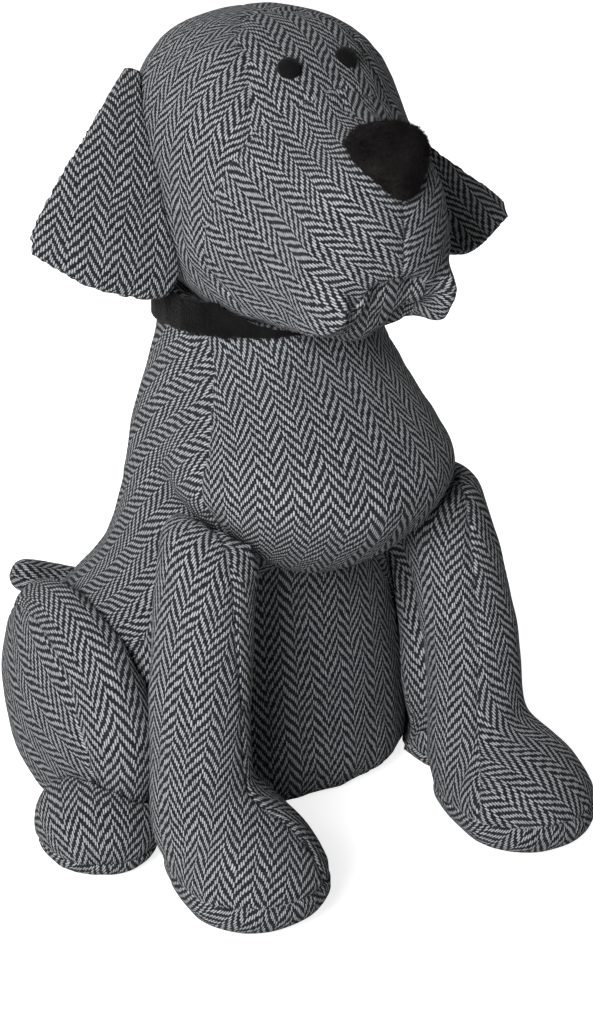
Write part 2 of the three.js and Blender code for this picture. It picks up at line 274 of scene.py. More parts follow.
@dataclass(frozen=True)
class HerringboneTweed:
    """A two-over-two twill whose diagonals turn back every few yarns.

    Attributes:
        warp_pitch: The width of a yarn that runs along the columns, in metres.
        weft_pitch: The width of a yarn that crosses them, in metres.
        yarns_a_turn: How many yarns wide a column is.
        pale: The colour of the palest yarns, which run along the columns.
        dark: The colour of the dark yarns that cross them, and of painted shade in the gaps.
        stray_scale: How many small wanderings of the yarns fit in a metre.
        stray: Over how many yarns they go, across and along the columns.
        drift_scale: How many broad wanderings fit in a metre.
        drift: Over how many yarns those go, across and along.
        slip: How far one yarn may lie behind the next.
        fleck_scale: How many flecks fit in a metre.
        fleck_gain: How sharply the flecks stand out.
        fleck_floor: What is taken off them, so that fewer are left.
        fleck_share: Their part in a yarn's shade, against the whole yarn's own.
        fleck_relief: How far they raise the surface, against a yarn.
        warp_arch: How high a pale yarn arches, and how high it is at the arch's ends.
        weft_arch: The same of a dark yarn.
        warp_light: How light a pale yarn is by its shade and besides it, both times its
            height as painted shade, and down in its gaps.
        weft_light: How light a dark yarn is by its height, as painted shade, and besides it.
        relief: How high the yarns stand, in metres.
        roughness: How blurred its reflections are.
        specular: How strong they are.
        sheen: How much light its fibres catch.
        sheen_spread: How far that light spreads.
    """

    warp_pitch: float = 0.00086
    weft_pitch: float = 0.00125
    yarns_a_turn: int = 8
    pale: Triple = (0.56, 0.58, 0.6)
    dark: Triple = (0.006, 0.0075, 0.0095)
    stray_scale: float = 190.0
    stray: tuple[float, float] = (1.2, 1.3)
    drift_scale: float = 38.0
    drift: tuple[float, float] = (4.5, -4.0)
    slip: float = 0.6
    fleck_scale: float = 2600.0
    fleck_gain: float = 2.4
    fleck_floor: float = 0.7
    fleck_share: float = 0.55
    fleck_relief: float = 0.4
    warp_arch: tuple[float, float] = (0.4, 0.6)
    weft_arch: tuple[float, float] = (0.5, 0.3)
    warp_light: Triple = (0.52, 0.5, 0.03)
    weft_light: tuple[float, float] = (0.06, 0.015)
    relief: float = 0.0004
    roughness: float = 0.95
    specular: float = 0.05
    sheen: float = 0.03
    sheen_spread: float = 0.6

    def count_yarns(self, shader: Shader, cloth: bpy.types.NodeSocket) -> tuple[Value, Value]:
        """Counts the yarns across and along the cloth, with their wanderings.

        Args:
            shader: The tweed's shader.
            cloth: The place in the cloth map.

        Returns:
            How many yarns across the columns, and how many along them.
        """
        apart = shader.node("SeparateXYZ")
        shader.link(cloth, apart.inputs[0])
        stray = shader.noise(cloth, self.stray_scale) - 0.5
        drift = shader.noise(cloth, self.drift_scale) - 0.5
        across, along = (
            Value(shader.tree, apart.outputs[axis]) * (1 / pitch)
            + stray * self.stray[axis]
            + drift * self.drift[axis]
            for axis, pitch in enumerate((self.warp_pitch, self.weft_pitch))
        )
        slip = shader.node("TexWhiteNoise", noise_dimensions="1D")
        shader.link(across.whole().socket, slip.inputs["W"])
        return across, along + Value(shader.tree, slip.outputs["Value"]) * self.slip

    def arch(self, within: Value, run: Value, rise: float, least: float) -> Value:
        """How high a yarn stands, round across itself and arched along its run.

        Args:
            within: The place across the yarn, from 0 to 1.
            run: The place along the two cells in which it lies on top, from 0 to 2.
            rise: How high the arch is.
            least: How high the yarn is at the arch's ends.

        Returns:
            The height, from 0 to 1.
        """
        arched = (run * (math.pi / 2)).math("SINE").math("MAXIMUM", 0.0)
        return (within * math.pi).math("SINE") * (arched * rise + least)

    def material(self) -> bpy.types.Material:
        """Weaves the pattern from the cloth map, one cell for each crossing of two yarns.

        Returns:
            The material.
        """
        shader = Shader("herringbone_tweed")
        cloth = shader.node("UVMap", uv_map=CLOTH_MAP).outputs[0]
        across, along = self.count_yarns(shader, cloth)
        warp, weft = across.whole(), along.whole()
        turned = (warp * (1 / self.yarns_a_turn)).whole() % 2.0
        way = turned * 2.0 - 1.0
        shift = turned * 3.0
        over = ((warp * way + weft + shift) % 4.0).under(1.5)
        warp_run = (warp * way + along + shift) % 4.0
        weft_run = (across * way + weft + shift - turned + 1.0) % 4.0 - 2.0
        raised = over.blend(
            self.arch(along - weft, weft_run, *self.weft_arch),
            self.arch(across - warp, warp_run, *self.warp_arch),
        )
        cell = shader.node("CombineXYZ")
        yarn = shader.node("TexWhiteNoise", noise_dimensions="2D")
        length = over.blend(weft, (warp * way + weft) * 0.25).whole()
        shader.link(over.blend(0.0, warp).socket, cell.inputs[0])
        shader.link(length.socket, cell.inputs[1])
        shader.link(cell.outputs[0], yarn.inputs["Vector"])
        fleck = shader.noise(cloth, self.fleck_scale)
        shade = Value(shader.tree, yarn.outputs["Value"]) * (1 - self.fleck_share)
        flecks = (fleck * self.fleck_gain - self.fleck_floor).clamped()
        shade = shade + flecks * self.fleck_share
        # Painted shade: each yarn's colour is scaled by its height, so it is darker down its
        # sides, in the gaps between yarns and where it dives under, and lightest on its crest.
        by_shade, besides, in_gaps = self.warp_light
        pale = raised * (shade * by_shade + besides) + in_gaps
        painted_shade_by_height, besides = self.weft_light
        dark = shade * (raised * painted_shade_by_height + besides)
        shader.colour(over.blend(dark, pale), self.dark, self.pale)
        shader.matt(self.roughness, self.specular, self.sheen, self.sheen_spread)
        shader.bump(raised + fleck * self.fleck_relief, self.relief)
        return shader.material


@dataclass(frozen=True)
class Pile:
    """Short pile on a dark cloth, which catches light where it lies over.

    Attributes:
        name: The finish's name.
        deep: The colour down in the pile, dark as painted shade.
        lit: The colour of its tips, light as a painted highlight.
        sheen: How much light the tips catch.
        sheen_spread: How far that light spreads.
        roughness: How blurred its reflections are.
        specular: How strong they are.
        pile_scale: How many tufts fit in a metre.
        crush_scale: How many crushed patches fit in a metre.
        depth: How deep the pile is, in metres.
    """

    name: str
    deep: Triple
    lit: Triple
    sheen: float
    sheen_spread: float = 0.35
    roughness: float = 0.9
    specular: float = 0.04
    pile_scale: float = 1500.0
    crush_scale: float = 90.0
    depth: float = 0.0006

    def material(self) -> bpy.types.Material:
        """Mixes fine pile with broader crushed patches.

        Returns:
            The material.
        """
        shader = Shader(self.name)
        place = shader.node("TexCoord").outputs["Object"]
        pile = shader.noise(place, self.pile_scale, 3.0)
        crush = shader.noise(place, self.crush_scale, 3.0)
        # Painted light: tufts and crushed patches take the lit colour as painted highlight, the
        # rest the deep colour as painted shade.
        shader.colour((pile * 0.7 + crush * 0.9 - 0.45).clamped(), self.deep, self.lit)
        shader.matt(self.roughness, self.specular, self.sheen, self.sheen_spread)
        shader.bump(pile + crush * 0.5, self.depth)
        return shader.material


PILES = {
    Slot.PLUSH: Pile("nose_plush", (0.0008, 0.0007, 0.0007), (0.034, 0.029, 0.029), 0.02),
    Slot.VELOUR: Pile("collar_velour", (0.002, 0.002, 0.0021), (0.014, 0.0135, 0.014), 0.08),
    Slot.BUTTON: Pile("eye_cloth", (0.003, 0.003, 0.0033), (0.012, 0.012, 0.013), 0.08),
}


# Mesh tools


def joined(name: str, data: bpy.types.ID) -> bpy.types.Object:
    """Puts a new object in the scene.

    Args:
        name: The object's name.
        data: Its mesh, lamp or camera.

    Returns:
        The object.
    """
    made = bpy.data.objects.new(name, data)
    bpy.context.scene.collection.objects.link(made)
    return made


def column(
    rows: bpy.types.bpy_prop_collection, name: str, width: int, kind: type
) -> np.ndarray:
    """Reads one property of every row of a collection.

    Args:
        rows: The rows, such as a mesh's vertices.
        name: The property.
        width: How many numbers it holds.
        kind: The kind of number.

    Returns:
        A number for each row, or a row of numbers where the width is over 1.
    """
    flat = np.empty(len(rows) * width, dtype=kind)
    rows.foreach_get(name, flat)
    return flat if width == 1 else flat.reshape(-1, width)


def places(mesh: bpy.types.Mesh) -> np.ndarray:
    """The mesh's vertices as rows of X, Y and Z in metres."""
    return column(mesh.vertices, "co", 3, float)


def outward(mesh: bpy.types.Mesh) -> np.ndarray:
    """The mesh's vertex normals."""
    return column(mesh.vertex_normals, "vector", 3, float)


def pairs(mesh: bpy.types.Mesh) -> np.ndarray:
    """The two vertices of each edge."""
    return column(mesh.edges, "vertices", 2, np.int32)


def owners(mesh: bpy.types.Mesh) -> np.ndarray:
    """The face that holds each corner of the mesh."""
    starts = column(mesh.polygons, "loop_start", 1, np.int32)
    return np.searchsorted(starts, np.arange(len(mesh.loops)), side="right") - 1


def move(mesh: bpy.types.Mesh, points: np.ndarray) -> None:
    """Puts the mesh's vertices at new places."""
    mesh.vertices.foreach_set("co", points.ravel())
    mesh.update()


def bake(piece: bpy.types.Object) -> None:
    """Applies the object's modifiers to its mesh.

    Args:
        piece: The object.
    """
    shown = piece.evaluated_get(bpy.context.evaluated_depsgraph_get())
    mesh = bpy.data.meshes.new_from_object(shown)
    piece.modifiers.clear()
    piece.data = mesh


def smoothed(points: np.ndarray, edges: np.ndarray, rounds: int) -> np.ndarray:
    """Evens out points along edges without shrinking the form.

    Args:
        points: Places to even out.
        edges: Pairs of neighbours.
        rounds: How many times, each a step in and a step out.

    Returns:
        The new places.
    """
    points = points.copy()
    count = np.maximum(np.bincount(edges.ravel(), minlength=len(points)), 1)[:, None]
    for share in (0.5, -0.52) * rounds:
        total = np.zeros_like(points)
        np.add.at(total, edges[:, 0], points[edges[:, 1]])
        np.add.at(total, edges[:, 1], points[edges[:, 0]])
        points += share * (total / count - points)
    return points


def voxelled(node: str, name: str, voxel: float, rounds: int) -> bpy.types.Object:
    """An even, rounded copy of a plain node.

    Args:
        node: The node that the copy replaces.
        name: The copy's name.
        voxel: The size of its faces in metres.
        rounds: How much it is evened out.

    Returns:
        The copy, riding on the root.
    """
    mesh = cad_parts[node].data.copy()
    mesh.materials.clear()
    piece = joined(name, mesh)
    remesh = piece.modifiers.new("even", "REMESH")
    remesh.mode, remesh.voxel_size = "VOXEL", voxel
    bake(piece)
    move(piece.data, smoothed(places(piece.data), pairs(piece.data), rounds))
    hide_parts(node)
    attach(piece, "root")
    return piece


def subdivide(piece: bpy.types.Object) -> None:
    """Splits each face in four, smoothly.

    Args:
        piece: The object.
    """
    split = piece.modifiers.new("finer", "SUBSURF")
    split.levels = split.render_levels = 1
    split.uv_smooth = "PRESERVE_BOUNDARIES"
    bake(piece)


def stuff(bags: list["SewnBag"]) -> None:
    """Blows the bags up from inside as cloth, all at once, and caps how far they swell.

    Args:
        bags: The bags, each with its starting form.
    """
    scene = bpy.context.scene
    before = [places(bag.piece.data) for bag in bags]
    for bag in bags:
        points = places(bag.piece.data)
        move(bag.piece.data, points - outward(bag.piece.data) * bag.slack * MM)
        cloth = bag.piece.modifiers.new("stuffing", "CLOTH")
        cloth.settings.quality = CLOTH_STEPS
        cloth.settings.use_pressure = True
        cloth.settings.uniform_pressure_force = PRESSURE
        cloth.settings.effector_weights.gravity = 0.0
        cloth.collision_settings.use_collision = False
    for step in range(1, STUFFING_FRAMES + 1):
        scene.frame_set(step)
    for bag, start in zip(bags, before):
        bake(bag.piece)
        moved = places(bag.piece.data) - start
        far = np.linalg.norm(moved, axis=1, keepdims=True)
        cap = bag.swell * MM
        moved *= np.minimum(1.0, cap / np.maximum(far, 1e-9))
        points = smoothed(start + moved, pairs(bag.piece.data), bag.evened)
        move(bag.piece.data, points)
    scene.frame_set(1)


def cut_along(mesh: bpy.types.Mesh, field: Field, near: float) -> None:
    """Runs a line of edges through the mesh where a field is zero.

    Args:
        mesh: The mesh, in metres.
        field: The field.
        near: How near a vertex is, in millimetres, that is moved to the line.
    """
    points, normals = places(mesh) / MM, outward(mesh)
    value = field(points, normals)
    slope = np.stack(
        [field(points + step, normals) - value for step in np.eye(3) * PROBE], axis=1
    ) / PROBE
    steep = np.maximum((slope**2).sum(1), 1e-6)
    close = (np.abs(value) < near * np.sqrt(steep)) & (steep > 1e-3)
    points[close] -= (slope * (value / steep)[:, None])[close]
    value[close] = 0.0
    move(mesh, points * MM)
    work = bmesh.new()
    work.from_mesh(mesh)
    work.verts.ensure_lookup_table()
    on_line = {vert for vert in work.verts if value[vert.index] == 0.0}
    crossed = [
        edge for edge in work.edges if value[edge.verts[0].index] * value[edge.verts[1].index] < 0
    ]
    shares = [
        value[edge.verts[0].index] / (value[edge.verts[0].index] - value[edge.verts[1].index])
        for edge in crossed
    ]
    touched = set()
    for edge, share in zip(crossed, shares):
        touched.update(edge.link_faces)
        on_line.add(bmesh.utils.edge_split(edge, edge.verts[0], share)[1])
    for vert in list(on_line):
        touched.update(vert.link_faces)
    for face in touched:
        ends = [loop.vert for loop in face.loops if loop.vert in on_line]
        if len(ends) == 2 and not any(ends[1] in edge.verts for edge in ends[0].link_edges):
            bmesh.utils.face_split(face, ends[0], ends[1])
    work.to_mesh(mesh)
    work.free()
    mesh.update()


def unwrap(
    piece: bpy.types.Object,
    grains: tuple[Triple, ...],
    closeness: tuple[float, ...],
    across: float,
) -> None:
    """Lays each panel flat in the cloth map, in metres, with its columns along the grain.

    Args:
        piece: The object, with its panels numbered and its seams marked.
        grains: For each panel, the way in which its columns run.
        closeness: For each panel, how close its yarns lie, against the usual.
        across: How close the columns lie, against the yarns that cross them.
    """
    mesh = piece.data
    mesh.uv_layers.new(name=CLOTH_MAP)
    bpy.context.view_layer.objects.active = piece
    bpy.ops.object.mode_set(mode="EDIT")
    bpy.ops.mesh.select_all(action="SELECT")
    bpy.ops.uv.unwrap(method="MINIMUM_STRETCH", margin=0.0, iterations=12)
    bpy.ops.object.mode_set(mode="OBJECT")
    mesh = piece.data
    flat = column(mesh.uv_layers[CLOTH_MAP].data, "uv", 2, float)
    corner = column(mesh.loops, "vertex_index", 1, np.int32)
    solid = places(mesh)[corner]
    starts = column(mesh.polygons, "loop_start", 1, np.int32)
    owner = owners(mesh)
    panel = panels_of(mesh)[owner]
    after = np.arange(len(corner)) + 1
    after = np.where(np.isin(after, starts) | (after == len(corner)), starts[owner], after)
    for number, (grain, close) in enumerate(zip(grains, closeness)):
        inside = panel == number
        if not inside.any():
            continue
        ends = inside & inside[after]
        real = np.linalg.norm(solid[after] - solid, axis=1)[ends].sum()
        drawn = np.linalg.norm(flat[after] - flat, axis=1)[ends].sum()
        here = flat[inside] - flat[inside].mean(0)
        here *= real / drawn * close
        rise = solid[inside] @ (np.array(grain) / np.linalg.norm(grain))
        up = np.linalg.lstsq(here, rise - rise.mean(), rcond=None)[0]
        up /= np.linalg.norm(up)
        flat[inside] = here @ np.array([[up[1], up[0]], [-up[0], up[1]]]) * (across, 1.0)
    mesh.uv_layers[CLOTH_MAP].data.foreach_set("uv", flat.ravel())


def panels_of(mesh: bpy.types.Mesh) -> np.ndarray:
    """Each face's panel number."""
    return column(mesh.attributes[PANEL].data, "value", 1, np.int32)


def seam_edges(mesh: bpy.types.Mesh) -> np.ndarray:
    """Finds the edges that lie between two panels.

    Args:
        mesh: The mesh, with its panels numbered.

    Returns:
        A mask over its edges.
    """
    edge = column(mesh.loops, "edge_index", 1, np.int32)
    panel = panels_of(mesh)[owners(mesh)]
    low = np.full(len(mesh.edges), panel.max() + 1)
    high = np.full(len(mesh.edges), -1)
    np.minimum.at(low, edge, panel)
    np.maximum.at(high, edge, panel)
    return low != high


def nearness(mesh: bpy.types.Mesh, seam: np.ndarray, fade: float, rounds: int) -> np.ndarray:
    """How near each vertex is to a seam, from 1 on it down towards 0.

    Args:
        mesh: The mesh.
        seam: Which of its edges are seams.
        fade: What is kept from one vertex to the next.
        rounds: How many vertices it reaches.

    Returns:
        One number for each vertex.
    """
    edges = pairs(mesh)
    near = np.zeros(len(mesh.vertices))
    near[edges[seam].ravel()] = 1.0
    for _ in range(rounds):
        spread = near.copy()
        np.maximum.at(spread, edges[:, 0], near[edges[:, 1]] * fade)
        np.maximum.at(spread, edges[:, 1], near[edges[:, 0]] * fade)
        near = spread
    return near


def ripple(points: np.ndarray, length: float) -> np.ndarray:
    """A smooth uneven wave over points.

    Args:
        points: Places in metres.
        length: The wave's length in millimetres.

    Returns:
        A number for each point, from -1 to 1.
    """
    x, y, z = (points / MM / length * 2 * math.pi).T
    return (
        np.sin(x + 1.3 * np.sin(0.7 * y + 0.4)) * np.sin(0.9 * y + 1.1 * np.sin(0.8 * z))
        + np.sin(1.1 * z + 1.2 * np.sin(0.6 * x + 2.0))
    ) / 2


def pulled(points: np.ndarray, pulls: tuple[Pull, ...]) -> np.ndarray:
    """Moves points by pulls that fade out softly.

    Args:
        points: Places in metres.
        pulls: The pulls, in millimetres.

    Returns:
        The new places.
    """
    for where, reach, way in pulls:
        far = np.linalg.norm(points / MM - where, axis=1)
        points = points + np.exp(-((far / reach) ** 2))[:, None] * np.array(way) * MM
    return points


# The sewn bags


@dataclass
class SewnBag:
    """A stuffed bag of tweed panels, grown from the plain solid that it replaces.

    Attributes:
        node: The plain node. All lengths below are in millimetres.
        voxel: The size of its even faces, before they are halved.
        rounds: How often it is evened out before it is stuffed.
        halved: Whether its faces are halved before the panels are cut.
        slack: How far its cloth is taken in before it is stuffed.
        swell: The most that the stuffing may move its cloth.
        evened: How often it is evened out after it is stuffed.
        pulls: What brings the stuffed form to the shape that the photograph shows.
        seam_depth: How deep its seams sink.
        pucker: How high its cloth puckers beside them.
        lump: How high the soft lumps of its filling are.
        fill: How full it is, from 0 to 1; not used.
        grains: For each panel, the way in which its columns run.
        closeness: For each panel, how close its yarns lie, against the usual.
        across: How close the columns lie, against the yarns that cross them.
        rests: Whether it stands on the floor.
    """

    node: str
    voxel: float = 5.0
    rounds: int = 6
    halved: bool = True
    slack: float = 1.2
    swell: float = 2.2
    evened: int = 1
    pulls: tuple[Pull, ...] = ()
    seam_depth: float = 1.5
    pucker: float = 0.45
    lump: float = 0.5
    fill: float = 0.8
    grains: tuple[Triple, ...] = ((0.0, 0.0, 1.0),)
    closeness: tuple[float, ...] = (1.0,) * 6
    across: float = 1.0
    rests: bool = False

    def seams(self) -> list[Field]:
        """The lines along which its cloth is cut."""
        return []

    def panel(self, points: np.ndarray, normals: np.ndarray) -> np.ndarray:
        """The number of the panel that holds each point, in millimetres."""
        return np.zeros(len(points), dtype=np.int32)

    def off_centre(self, points: np.ndarray, _: np.ndarray) -> np.ndarray:
        """How far points lie to the left of the dog's middle."""
        return points[:, 0]

    def rough_out(self) -> None:
        """Makes its even starting form."""
        self.piece = voxelled(self.node, self.node + "_bag", self.voxel * MM, self.rounds)

    def shape(self) -> None:
        """Pulls the stuffed form into the hand-made shape that the photograph shows."""
        move(self.piece.data, pulled(places(self.piece.data), self.pulls))

    def sew(self) -> None:
        """Cuts the form into panels, lays their cloth and sinks the seams between them."""
        if self.halved:
            subdivide(self.piece)
        mesh = self.piece.data
        for field in self.seams():
            cut_along(mesh, field, SNAP * self.voxel / (2 if self.halved else 1))
        self.number_panels(mesh)
        unwrap(self.piece, self.grains, self.closeness, self.across)
        subdivide(self.piece)
        self.sink_seams(self.piece.data)

    def number_panels(self, mesh: bpy.types.Mesh) -> None:
        """Numbers each face's panel and marks the edges between panels as seams.

        Args:
            mesh: The bag's mesh.
        """
        middles = np.array([face.center for face in mesh.polygons]) / MM
        facing = np.array([face.normal for face in mesh.polygons])
        numbers = self.panel(middles, facing).astype(np.int32)
        mesh.attributes.new(PANEL, "INT", "FACE").data.foreach_set("value", numbers)
        for edge, is_seam in zip(mesh.edges, seam_edges(mesh)):
            edge.use_seam = bool(is_seam)

    def sink_seams(self, mesh: bpy.types.Mesh) -> None:
        """Pulls the cloth in at its seams, with puckers beside them and soft lumps between.

        Args:
            mesh: The bag's mesh.
        """
        seam = seam_edges(mesh)
        points, normals = places(mesh), outward(mesh)
        groove = nearness(mesh, seam, *GROOVE)
        beside = nearness(mesh, seam, *PUCKERS) - groove
        depth = -self.seam_depth * groove + self.pucker * beside * ripple(points, PUCKER_WAVE)
        for length, share in LUMP_WAVES:
            depth += share * self.lump * ripple(points, length)
        points += normals * depth[:, None] * MM
        if self.rests:
            points[:, 2] = np.maximum(points[:, 2], 0.0)
        move(mesh, points)
        mesh.shade_smooth()

    def dress(self, cloth: bpy.types.Material) -> None:
        """Args:
            cloth: The tweed.
        """
        self.piece.data.materials.append(cloth)


@dataclass
class SidedBag(SewnBag):
    """A bag that the dog has on each of its sides."""

    side: Side = Side.RIGHT

    def __post_init__(self) -> None:
        """Names its node for its side."""
        self.node += "_" + self.side.word


@dataclass
class Torso(SewnBag):
    """Chest, belly, two side panels and the base, with the chest stuffed over the belly."""

    node: str = "torso"
    voxel: float = 6.0
    rests: bool = True
    grains: tuple[Triple, ...] = (
        (0.0, 0.0, 1.0),
        (0.0, 0.0, 1.0),
        (0.0, -0.72, 0.7),
        (0.0, -0.72, 0.7),
        (0.0, 1.0, 0.0),
    )
    closeness: tuple[float, ...] = (1.05, 0.92, 0.96, 0.96, 1.0)
    pulls: tuple[Pull, ...] = (((-68.0, -82.0, 128.0), 30.0, (-6.0, -6.0, 0.0)),)
    side_heights: tuple[float, ...] = (0, 60, 105, 126, 140, 166, 188, 208, 228, 262)
    side_reach: tuple[float, ...] = (58, 58, 68, 98, 114, 116, 112, 100, 89, 85)
    crease: float = 126.0
    crease_rise: float = 0.01
    base_edge: float = 5.0

    def ahead_of_side(self, points: np.ndarray, _: np.ndarray) -> np.ndarray:
        """How far points lie ahead of the side seams."""
        return -points[:, 1] - np.interp(points[:, 2], self.side_heights, self.side_reach)

    def above_crease(self, points: np.ndarray, _: np.ndarray) -> np.ndarray:
        """How far points lie above the seam under the chest."""
        return points[:, 2] - self.crease - self.crease_rise * points[:, 0] ** 2

    def above_base(self, points: np.ndarray, _: np.ndarray) -> np.ndarray:
        """How far points lie above the seam round the base."""
        return points[:, 2] - self.base_edge

    def seams(self) -> list[Field]:
        """The side seams, the crease under the chest, the base seam and the back seam."""
        return [self.ahead_of_side, self.above_crease, self.above_base, self.off_centre]

    def panel(self, points: np.ndarray, normals: np.ndarray) -> np.ndarray:
        """Chest 0, belly 1, right side 2, left side 3, base 4.

        Args:
            points: Places in millimetres.
            normals: The cloth's directions there.

        Returns:
            Each point's panel number.
        """
        front = np.where(self.above_crease(points, normals) > 0, 0, 1)
        flank = np.where(self.off_centre(points, normals) > 0, 3, 2)
        number = np.where(self.ahead_of_side(points, normals) > 0, front, flank)
        return np.where(self.above_base(points, normals) > 0, number, 4)


@dataclass
class Head(SewnBag):
    """Two cheeks, the forehead gusset, two muzzle panels and the chin."""

    node: str = "head"
    voxel: float = 2.6
    rounds: int = 3
    halved: bool = False
    evened: int = 4
    slack: float = 0.6
    swell: float = 1.3
    seam_depth: float = 1.1
    grains: tuple[Triple, ...] = (
        (0.0, 0.0, 1.0),
        (0.0, 0.0, 1.0),
        (0.0, 0.7, 0.7),
        (0.0, 1.0, 0.5),
        (0.0, 1.0, 0.5),
        (0.0, 1.0, 0.3),
    )
    closeness: tuple[float, ...] = (1.1,) * 6
    cheek_heights: tuple[float, ...] = (235, 251, 265, 280, 295, 308, 317, 334, 346, 353, 358)
    cheek_reach: tuple[float, ...] = (109, 107, 98, 101, 107, 111, 115, 105, 94, 80, 62)
    brow_out: tuple[float, ...] = (0, 10, 20, 30, 45)
    brow_heights: tuple[float, ...] = (335, 332, 329, 323, 312)
    lip_out: tuple[float, ...] = (0, 11, 15, 17, 20, 26)
    lip_heights: tuple[float, ...] = (269, 266.5, 262.5, 253, 243, 232)
    pulls: tuple[Pull, ...] = (
        ((25.0, -154.0, 248.0), 7.0, (0.5, -1.0, -3.0)),
        ((15.0, -154.0, 249.0), 6.5, (-1.5, 6.0, 5.5)),
        ((-27.0, -161.0, 258.0), 9.0, (4.5, -1.0, -2.5)),
        ((10.0, -150.0, 241.0), 9.0, (0.0, 5.0, 3.5)),
        ((38.0, -105.0, 325.0), 16.0, (-2.6, 1.0, 0.0)),
        ((0.0, -160.0, 252.0), 8.0, (0.0, 3.0, 1.0)),
        ((0.0, -172.0, 272.0), 8.0, (0.0, -1.5, -1.0)),
    )

    def ahead_of_cheek(self, points: np.ndarray, _: np.ndarray) -> np.ndarray:
        """How far points lie ahead of the cheek seams."""
        return -points[:, 1] - np.interp(points[:, 2], self.cheek_heights, self.cheek_reach)

    def above_brow(self, points: np.ndarray, _: np.ndarray) -> np.ndarray:
        """How far points lie above the seam between the forehead and the muzzle."""
        return points[:, 2] - np.interp(np.abs(points[:, 0]), self.brow_out, self.brow_heights)

    def below_lip(self, points: np.ndarray, _: np.ndarray) -> np.ndarray:
        """How far points lie below the edges of the flews."""
        return np.interp(np.abs(points[:, 0]), self.lip_out, self.lip_heights) - points[:, 2]

    def seams(self) -> list[Field]:
        """The cheek seams, the brow seam, the lip seams and the middle seam."""
        return [self.ahead_of_cheek, self.above_brow, self.below_lip, self.off_centre]

    def panel(self, points: np.ndarray, normals: np.ndarray) -> np.ndarray:
        """Right cheek 0, left cheek 1, gusset 2, right muzzle 3, left muzzle 4, chin 5.

        Args:
            points: Places in millimetres.
            normals: The cloth's directions there.

        Returns:
            Each point's panel number.
        """
        left = self.off_centre(points, normals) > 0
        muzzle = np.where(left, 4, 3)
        front = np.where(self.above_brow(points, normals) > 0, 2, muzzle)
        front = np.where(self.below_lip(points, normals) > 0, 5, front)
        cheek = np.where(left, 1, 0)
        return np.where(self.ahead_of_cheek(points, normals) > 0, front, cheek)


@dataclass
class Ear(SidedBag):
    """Two layers of tweed that meet at the rim, the outer one facing up and out."""

    node: str = "ear"
    voxel: float = 1.1
    rounds: int = 20
    halved: bool = False
    slack: float = -1.0
    swell: float = 1.2
    evened: int = 12
    seam_depth: float = 0.0
    pucker: float = 0.0
    fill: float = 0.3
    closeness: tuple[float, ...] = (1.14, 1.14)
    across: float = 0.86
    facing: Triple = (0.35, -0.55, 0.76)
    right_pull: Pull = ((-63.0, -81.0, 254.0), 15.0, (-0.5, -1.0, -5.5))
    left_pull: Pull = ((118.0, -74.0, 256.0), 10.0, (-3.0, 0.0, 1.0))

    def __post_init__(self) -> None:
        """Names its node, turns its grain and picks its pull for its side."""
        super().__post_init__()
        self.grains = ((-0.35 * self.side.value, 0.35, 1.0), (0.0, 0.3, 1.0))
        self.pulls = (self.right_pull if self.side is Side.RIGHT else self.left_pull,)

    def outside(self, _: np.ndarray, normals: np.ndarray) -> np.ndarray:
        """How far the cloth faces outward."""
        return normals @ (np.array(self.facing) * (self.side.value, 1, 1))

    def panel(self, points: np.ndarray, normals: np.ndarray) -> np.ndarray:
        """Outer layer 0, inner layer 1."""
        return np.where(self.outside(points, normals) > 0, 0, 1)


@dataclass
class FrontLeg(SidedBag):
    """A leg and foot of an outer and an inner panel, with a sole."""

    node: str = "front_leg"
    voxel: float = 4.6
    rests: bool = True
    grains: tuple[Triple, ...] = ((0.0, 0.0, 1.0), (0.0, 0.0, 1.0), (0.0, 1.0, 0.0))
    seam_out: float = 58.0
    ankle_reach: float = 147.0
    toe_turn: float = 0.65
    sole_height: float = 10.0
    sole_rise: float = 0.1
    heel: float = 95.0

    def outside(self, points: np.ndarray, _: np.ndarray) -> np.ndarray:
        """How far points lie out from the seam that runs down the front and the back."""
        past = np.maximum(-points[:, 1] - self.ankle_reach, 0.0)
        return self.side.value * points[:, 0] - self.seam_out + self.toe_turn * past

    def above_sole(self, points: np.ndarray, _: np.ndarray) -> np.ndarray:
        """How far points lie above the sole seam, which rises to the toe."""
        return points[:, 2] - self.sole_height + self.sole_rise * (points[:, 1] + self.heel)

    def seams(self) -> list[Field]:
        """The long seam and the sole seam."""
        return [self.outside, self.above_sole]

    def panel(self, points: np.ndarray, normals: np.ndarray) -> np.ndarray:
        """Outer panel 0, inner panel 1, sole 2."""
        number = np.where(self.outside(points, normals) > 0, 0, 1)
        return np.where(self.above_sole(points, normals) > 0, number, 2)


@dataclass
class Haunch(SidedBag):
    """A thigh with a curved seam that runs from its back down to the paw."""

    node: str = "haunch"
    rests: bool = True
    grains: tuple[Triple, ...] = ((0.0, -0.35, 1.0), (0.0, 0.3, 1.0))
    closeness: tuple[float, ...] = (0.9, 0.9)
    hub: tuple[float, float] = (-15.0, 28.0)
    reach: float = 61.0

    def inside_arc(self, points: np.ndarray, _: np.ndarray) -> np.ndarray:
        """How far points lie inside the curved seam, seen from the side."""
        return self.reach - np.hypot(points[:, 1] - self.hub[0], points[:, 2] - self.hub[1])

    def seams(self) -> list[Field]:
        """The curved seam."""
        return [self.inside_arc]

    def panel(self, points: np.ndarray, normals: np.ndarray) -> np.ndarray:
        """Inner part 0, outer strip 1."""
        return np.where(self.inside_arc(points, normals) > 0, 0, 1)


